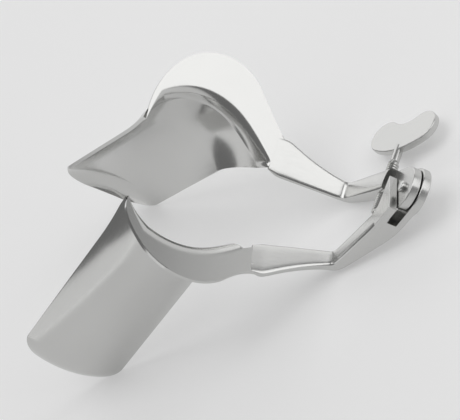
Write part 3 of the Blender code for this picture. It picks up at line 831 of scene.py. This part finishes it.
class SPECULUM_OT_rivet(bpy.types.Operator):
    """Build the rivet that the arms turn on"""

    bl_idname = "speculum.rivet"
    bl_label = "Hinge Rivet"

    def execute(self, context):
        front = -(TONGUE_Y - PIVOT_GAP)
        back = -(REAR_Y + REAR_TINE + PIVOT_GAP)
        profile = round_end(RIVET_HEAD, front + RIVET_HEAD_THICK, RIVET_EASE, 1)
        profile += [(RIVET_HEAD, front), (RIVET_RADIUS, front), (RIVET_RADIUS, back), (RIVET_TAIL, back)]
        profile += list(reversed(round_end(RIVET_TAIL, back - RIVET_TAIL_THICK, RIVET_EASE, -1)))
        bm = turned(profile)
        bmesh.ops.transform(bm, matrix=Matrix.Rotation(-math.pi / 2, 4, "X"), verts=bm.verts)
        piece = object_of("rivet", moved(bm, DESIGN))
        settle(piece, [])
        bright = context.scene.speculum_finish.bright
        material = steel_material("rivet_bright", DESIGN, bright, BRIGHT_SPREAD, RIVET_GRAIN)
        hand_over(piece, "lower", "hinge_rivet", material)
        return {"FINISHED"}


class SPECULUM_OT_thumb_screw(bpy.types.Operator):
    """Build the threaded shank and its winged head"""

    bl_idname = "speculum.thumb_screw"
    bl_label = "Thumb Screw"

    def execute(self, context):
        sizes, finish = context.scene.speculum_sizes, context.scene.speculum_finish
        self.shank(sizes, finish)
        self.wing(sizes, finish)
        return {"FINISHED"}

    def shank(self, sizes, finish):
        depth = tip_depth()
        profile = round_end(CORE_RADIUS, SHANK_TOP, END_EASE, 1)
        profile += list(reversed(round_end(CORE_RADIUS, -depth, TIP_EASE, -1)))
        piece = object_of("shank", moved(turned(profile), SCREW))
        helper = boolean(piece, "thread", moved(self.thread(sizes, depth), SCREW), "UNION")
        settle(piece, [helper], THREAD_SHARP_ANGLE)
        material = steel_material("shank_bright", SCREW, finish.bright, BRIGHT_SPREAD, SHANK_GRAIN)
        hand_over(piece, "screw", "screw_shank", material)

    def thread(self, sizes, depth):
        """A ridge wound round the core; its section is a narrow flat-topped tooth."""
        pitch, outer = sizes.thread_pitch, sizes.thread_radius
        inner = CORE_RADIUS - THREAD_SINK
        foot = pitch * THREAD_FOOT
        low = -depth + THREAD_LOW
        turns = (SHANK_TOP - THREAD_HIGH - low) / pitch
        steps = int(turns * THREAD_STEPS)
        bm = bmesh.new()
        corners = [(inner, low - foot), (outer, low - THREAD_FLAT),
                   (outer, low + THREAD_FLAT), (inner, low + foot)]
        face = bm.faces.new([bm.verts.new((r, 0, z)) for r, z in corners])
        bmesh.ops.spin(bm, geom=[face] + list(face.edges) + list(face.verts),
                       cent=(0, 0, 0), axis=(0, 0, 1), dvec=(0, 0, turns * pitch / steps),
                       angle=turns * 2 * math.pi, steps=steps, use_duplicate=False)
        return bm

    def wing(self, sizes, finish):
        base = SHANK_TOP + PIVOT_GAP + NECK_LENGTH
        stand = SCREW @ Matrix.Translation((0, 0, base)) @ Matrix.Rotation(WING_TURN, 4, "Z") @ \
            Matrix.Rotation(math.pi / 2, 4, "X")
        bm = plate(wing_outline(sizes.wing_span), -sizes.wing_thick / 2, sizes.wing_thick / 2)
        piece = object_of("wing", moved(bm, stand))
        bevel(piece, WING_EDGE, WING_EDGE_STEPS)
        profile = round_end(NECK_RADIUS, base + NECK_SINK, NECK_EASE, 1)
        profile += list(reversed(round_end(NECK_RADIUS, SHANK_TOP + PIVOT_GAP, END_EASE, -1)))
        helper = boolean(piece, "wing_neck", moved(turned(profile), SCREW), "UNION")
        settle(piece, [helper])
        material = steel_material("wing_satin", stand, finish.satin, SATIN_SPREAD, WING_GRAIN)
        hand_over(piece, "wing", "thumb_wing", material)


def lamp(name, place, target, size, power):
    """A soft rectangular light that looks at a point."""
    data = bpy.data.lights.new(name, "AREA")
    data.shape = "RECTANGLE"
    data.size, data.size_y = size
    data.energy = power
    made = bpy.data.objects.new(name, data)
    bpy.context.scene.collection.objects.link(made)
    made.location = place
    made.rotation_euler = (Vector(target) - Vector(place)).to_track_quat("-Z", "Y").to_euler()


class SPECULUM_OT_stage(bpy.types.Operator):
    """Set the table, the lights and the camera"""

    bl_idname = "speculum.stage"
    bl_label = "Stage"

    def execute(self, context):
        stage = context.scene.speculum_stage
        self.floor(stage)
        self.room(stage)
        low, high = CAD_BOX
        centre = (low[0] + high[0]) / 2, (low[1] + high[1]) / 2, AIM_HEIGHT
        lamp("top_light", TOP_PLACE, centre, TOP_SIZE, stage.top)
        lamp("key_light", KEY_PLACE, centre, KEY_SIZE, stage.key)
        lamp("flange_light", FLANGE_PLACE, centre, FLANGE_SIZE, stage.flange_light)
        lamp("side_light", SIDE_PLACE, centre, SIDE_SIZE, stage.side_light)
        self.camera(context)
        return {"FINISHED"}

    def floor(self, stage):
        """A plain table that looks the same seen and mirrored, and keeps the object's shadow."""
        bm = bmesh.new()
        bmesh.ops.create_grid(bm, x_segments=1, y_segments=1, size=TABLE_REACH)
        floor = object_of("table", bm)
        material = bpy.data.materials.new("table")
        material.use_nodes = True
        nodes = Nodes(material.node_tree)
        shader = material.node_tree.nodes["Principled BSDF"]
        shader.inputs["Base Color"].default_value = tuple(stage.floor) + (1.0,)
        shader.inputs["Roughness"].default_value = TABLE_ROUGHNESS
        path = nodes.add("ShaderNodeLightPath")
        seen = nodes.add("ShaderNodeMath", operation="MAXIMUM")
        share = nodes.add("ShaderNodeMath", operation="MULTIPLY")
        share.inputs[1].default_value = stage.whiteness
        glow = nodes.add("ShaderNodeEmission")
        mix = nodes.add("ShaderNodeMixShader")
        nodes.link(path.outputs["Is Camera Ray"], seen.inputs[0])
        nodes.link(path.outputs["Is Glossy Ray"], seen.inputs[1])
        nodes.link(seen.outputs[0], share.inputs[0])
        nodes.link(share.outputs[0], mix.inputs["Fac"])
        nodes.link(shader.outputs[0], mix.inputs[1])
        nodes.link(glow.outputs[0], mix.inputs[2])
        nodes.link(mix.outputs[0], material.node_tree.nodes["Material Output"].inputs["Surface"])
        floor.data.materials.append(material)

    def room(self, stage):
        world = bpy.data.worlds.new("room")
        world.use_nodes = True
        bpy.context.scene.world = world
        background = world.node_tree.nodes["Background"]
        background.inputs["Color"].default_value = (1.0, 1.0, 1.0, 1.0)
        background.inputs["Strength"].default_value = stage.room

    def camera(self, context):
        data = bpy.data.cameras.new("camera")
        data.lens = LENS
        data.sensor_width = FILM
        camera = bpy.data.objects.new("camera", data)
        context.scene.collection.objects.link(camera)
        turn = Matrix((CAMERA_RIGHT, CAMERA_UP, CAMERA_BACK)).transposed().to_4x4()
        camera.matrix_world = DESIGN @ Matrix.Translation(CAMERA_PLACE) @ turn
        context.scene.camera = camera
        context.scene.view_settings.view_transform = "Standard"


class SPECULUM_PT_panel(bpy.types.Panel):
    """The speculum's pieces, in the order they are built"""

    bl_label = "Speculum"
    bl_idname = "SPECULUM_PT_panel"
    bl_space_type = "VIEW_3D"
    bl_region_type = "UI"
    bl_category = "Speculum"

    def draw(self, context):
        layout = self.layout
        for operator in PIECES:
            layout.operator(operator.bl_idname)


PIECES = (SPECULUM_OT_valves, SPECULUM_OT_arms, SPECULUM_OT_rivet, SPECULUM_OT_thumb_screw,
          SPECULUM_OT_stage)
GROUPS = (SpeculumSizes, SpeculumFinish, SpeculumStage)


def register():
    for item in GROUPS + PIECES + (SPECULUM_PT_panel,):
        bpy.utils.register_class(item)
    bpy.types.Scene.speculum_sizes = PointerProperty(type=SpeculumSizes)
    bpy.types.Scene.speculum_finish = PointerProperty(type=SpeculumFinish)
    bpy.types.Scene.speculum_stage = PointerProperty(type=SpeculumStage)


def unregister():
    del bpy.types.Scene.speculum_stage
    del bpy.types.Scene.speculum_finish
    del bpy.types.Scene.speculum_sizes
    for item in reversed(GROUPS + PIECES + (SPECULUM_PT_panel,)):
        bpy.utils.unregister_class(item)


def main():
    register()
    bpy.ops.speculum.valves()
    bpy.ops.speculum.arms()
    bpy.ops.speculum.rivet()
    bpy.ops.speculum.thumb_screw()
    bpy.ops.speculum.stage()
    bpy.context.view_layer.update()


if __name__ == "__main__":
    main()
